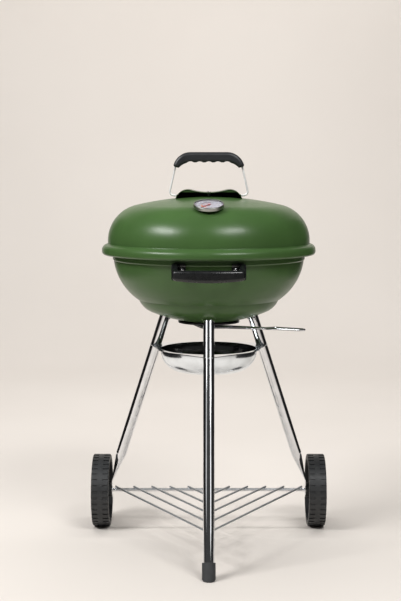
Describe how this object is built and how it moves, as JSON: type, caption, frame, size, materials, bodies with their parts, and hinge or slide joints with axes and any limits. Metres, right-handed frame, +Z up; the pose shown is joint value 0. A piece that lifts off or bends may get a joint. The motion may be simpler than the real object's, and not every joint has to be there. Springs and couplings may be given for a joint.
{
  "type": "kettle charcoal grill",
  "caption": "Round kettle charcoal grill with a green enamel lid and bowl, chromed tube legs, two black wheels, an ash pan and a wire shelf.",
  "frame": {"origin": "on the floor under the middle of the whole object, foot and wheels included", "axes": "+Z up, -Y to the front with the carrying handle, thermometer and front leg, +X to the right seen from the front"},
  "size_m": [0.5406, 0.5483, 0.8709],
  "materials": {
    "green_enamel": "glossy",
    "chromed_steel": "mirror",
    "bare_aluminium": "satin",
    "black_plastic": "satin",
    "black_rubber": "matte",
    "zinc_wire": "satin",
    "grate_steel": "satin",
    "steel_hardware": "satin",
    "dial_print": "matte",
    "needle_red": "matte",
    "dial_glass": "clear"
  },
  "bodies": {
    "stand": {"bowl_base": "green_enamel", "bowl_shell": "green_enamel", "bowl_rim": "green_enamel", "leg_sockets": "green_enamel", "grate_brackets": "grate_steel", "bowl_handle": "black_plastic", "bowl_handle_screws": "steel_hardware", "bowl_handle_nuts": "steel_hardware", "damper_bolt": "steel_hardware", "damper_nut": "steel_hardware", "front_leg_upper": "chromed_steel", "left_leg_upper": "chromed_steel", "right_leg_upper": "chromed_steel", "leg_screws": "steel_hardware", "front_leg_lower": "chromed_steel", "left_leg_lower": "chromed_steel", "right_leg_lower": "chromed_steel", "front_foot_cap": "black_rubber", "ash_pan": "bare_aluminium", "axle": "chromed_steel", "axle_washers": "steel_hardware", "axle_caps": "black_plastic", "bottom_rack": "zinc_wire", "rack_screw": "steel_hardware"},
    "bottom_vent": {"bottom_damper": "steel_hardware", "damper_lever": "zinc_wire"},
    "cook_grid": {"cooking_grate": "grate_steel"},
    "coal_grid": {"charcoal_grate": "grate_steel"},
    "wheel_l": {"wheel_left": "black_plastic"},
    "wheel_r": {"wheel_right": "black_plastic"},
    "lid": {"lid_shell": "green_enamel", "heat_shield": "green_enamel", "lid_handle_bail": "zinc_wire", "lid_handle_grip": "black_plastic", "shield_bolts": "steel_hardware", "shield_nuts": "steel_hardware", "shield_spacers": "steel_hardware", "lid_vent_rivet": "steel_hardware", "thermometer_case": "chromed_steel", "thermometer_dial": "dial_print", "thermometer_lens": "dial_glass", "thermometer_stem": "steel_hardware", "thermometer_nut": "steel_hardware"},
    "lid_vent": {"lid_vent_damper": "steel_hardware"},
    "needle": {"thermometer_needle": "needle_red"}
  },
  "joints": [
    {"name": "lid_lift", "type": "slide", "parent": "stand", "child": "lid", "axis": [0, 0, 1], "range_m": [0, 0.3]},
    {"name": "lid_vent_turn", "type": "hinge", "parent": "lid", "child": "lid_vent", "pos_m": [0, 0.14412, 0.76607], "axis": [0, 0.15, 0.9887], "range_deg": [0, 45]},
    {"name": "needle_turn", "type": "hinge", "parent": "lid", "child": "needle", "pos_m": [0, -0.12588, 0.75413], "axis": [0, -0.2875, 0.9578], "range_deg": [-270, 0]},
    {"name": "damper_turn", "type": "hinge", "parent": "stand", "child": "bottom_vent", "pos_m": [0, 0.03912, 0.496], "axis": [0, 0, 1], "range_deg": [-60, 5]},
    {"name": "wheel_left_spin", "type": "hinge", "parent": "stand", "child": "wheel_l", "pos_m": [-0.25027, 0.17343, 0.0835], "axis": [1, 0, 0], "continuous": true},
    {"name": "wheel_right_spin", "type": "hinge", "parent": "stand", "child": "wheel_r", "pos_m": [0.25027, 0.17343, 0.0835], "axis": [1, 0, 0], "continuous": true},
    {"name": "cooking_grate_lift", "type": "slide", "parent": "stand", "child": "cook_grid", "axis": [0, 0, 1], "range_m": [0, 0.03]},
    {"name": "charcoal_grate_lift", "type": "slide", "parent": "stand", "child": "coal_grid", "axis": [0, 0, 1], "range_m": [0, 0.05]}
  ]
}
